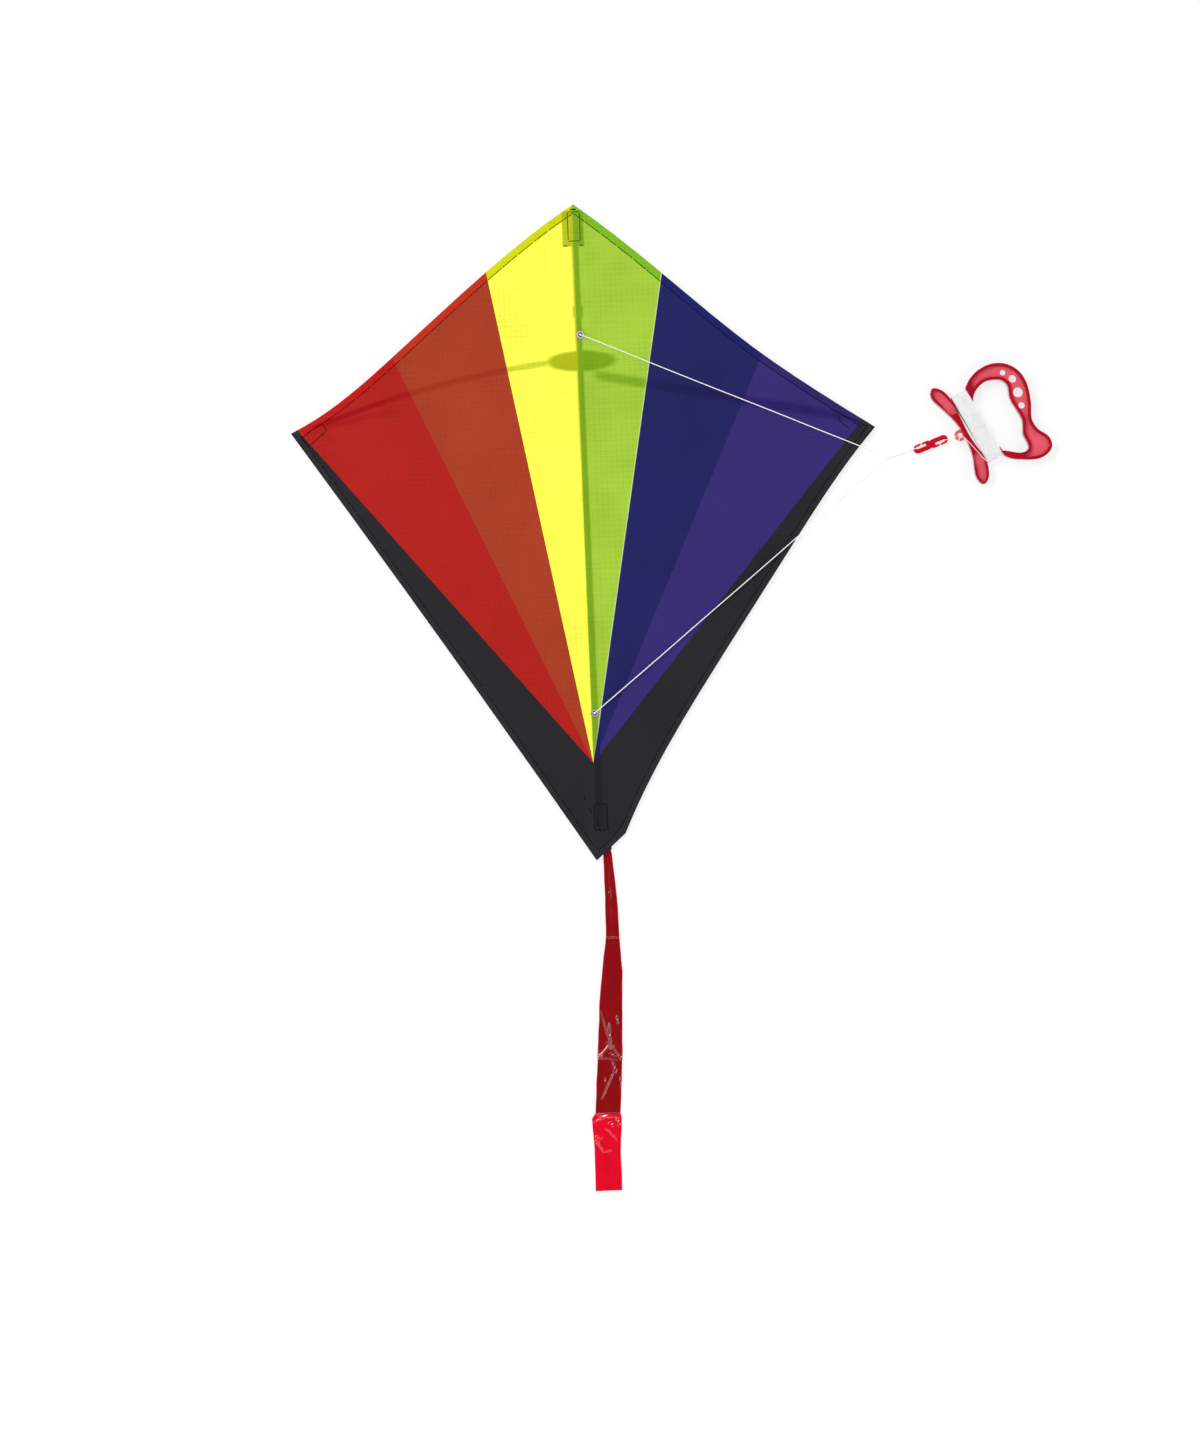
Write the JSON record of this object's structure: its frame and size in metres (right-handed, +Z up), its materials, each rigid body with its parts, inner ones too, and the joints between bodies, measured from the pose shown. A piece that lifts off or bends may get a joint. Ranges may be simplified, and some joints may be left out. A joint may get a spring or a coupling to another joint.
{
  "type": "diamond kite",
  "caption": "Single-line diamond kite with rainbow sail, bowed spar, two-leg bridle, line clip, wound line handle and ribbon tail",
  "frame": {"origin": "on the ground under the crossing of spine and spar, at the flat back of the centre fitting", "axes": "+Y along the spine to the nose, +X to the kite's right seen from the bridle side, +Z up out of the decorated face"},
  "size_m": [0.7835, 1.0175, 0.0155],
  "materials": {
    "sail_cloth": "printed ripstop polyester",
    "pocket_cloth": "black woven polyester",
    "rod": "pultruded fibreglass",
    "cap_plastic": "moulded vinyl",
    "fitting_plastic": "moulded nylon",
    "ferrule_metal": "drawn tube",
    "eyelet_metal": "nickel plated",
    "white_cord": "braided polyester",
    "white_line": "twisted polyester line",
    "clip_plastic": "moulded acetal",
    "handle_plastic": "clear tinted polystyrene",
    "tail_film": "creased metallised film"
  },
  "bodies": {
    "kite": {"sail": "sail_cloth", "nose_pocket": "pocket_cloth", "tail_pocket": "pocket_cloth", "left_tip_pocket": "pocket_cloth", "right_tip_pocket": "pocket_cloth", "spine_rod": "rod", "left_spar": "rod", "right_spar": "rod", "spar_ferrule": "ferrule_metal", "spine_nose_cap": "cap_plastic", "spine_tail_cap": "cap_plastic", "left_spar_cap": "cap_plastic", "right_spar_cap": "cap_plastic", "centre_fitting": "fitting_plastic", "upper_eyelet": "eyelet_metal", "lower_eyelet": "eyelet_metal", "upper_eyelet_washer": "eyelet_metal", "lower_eyelet_washer": "eyelet_metal", "upper_bridle_tie": "white_cord", "lower_bridle_tie": "white_cord", "tail_tab": "pocket_cloth"},
    "bridle": {"upper_leg_knot": "white_cord", "lower_leg_knot": "white_cord", "upper_bridle_leg": "white_cord", "lower_bridle_leg": "white_cord", "tow_knot": "white_cord", "tow_loop": "white_cord"},
    "clip": {"line_clip": "clip_plastic", "clip_leader": "white_line", "leader_knot": "white_line"},
    "winder": {"winder_handle": "handle_plastic", "line_winding": "white_line", "line_lead": "white_line"},
    "tail": {"tail_long_ribbon": "tail_film", "tail_short_ribbon": "tail_film", "tail_tie": "white_cord"}
  },
  "joints": [
    {"name": "bridle_swing", "type": "hinge", "parent": "kite", "child": "bridle", "pos_m": [0, 0.02684, 0.01414], "axis": [0, -0.9999, -0.0109], "range_deg": [0, 175]},
    {"name": "clip_swivel", "type": "hinge", "parent": "bridle", "child": "clip", "pos_m": [0.3433, -0.1023, 0.003], "axis": [0, 0, 1], "range_deg": [-22, 22]},
    {"name": "winder_swivel", "type": "hinge", "parent": "clip", "child": "winder", "pos_m": [0.38753, -0.09112, 0.005], "axis": [0, 0, 1], "range_deg": [-35, 35]},
    {"name": "tail_swing", "type": "hinge", "parent": "kite", "child": "tail", "pos_m": [0.006, -0.502, 0.003], "axis": [0, 0, 1], "range_deg": [-45, 45]}
  ]
}
